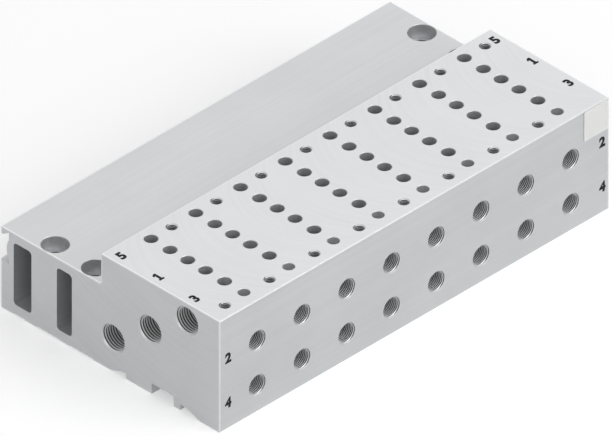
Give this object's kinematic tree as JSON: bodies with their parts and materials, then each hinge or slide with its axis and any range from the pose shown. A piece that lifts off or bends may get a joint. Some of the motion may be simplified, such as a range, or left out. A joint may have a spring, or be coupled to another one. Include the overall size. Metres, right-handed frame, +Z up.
{
  "type": "manifold block",
  "caption": "Stepped aluminium manifold block with a mounting flange, tapped supply, exhaust and working ports, and drilled valve stations along its raised side.",
  "frame": {"origin": "middle of the base, on the plane that the block stands on", "axes": "+X along the row of valve stations towards the labelled end, -Y out of the face with the working ports, +Z up out of the valve face"},
  "size_m": [0.226, 0.1274, 0.056],
  "materials": {
    "anodised_aluminium": "satin",
    "label_film": "matte"
  },
  "bodies": {
    "root": {"manifold_block": "anodised_aluminium", "marking_label": "label_film"}
  },
  "joints": []
}
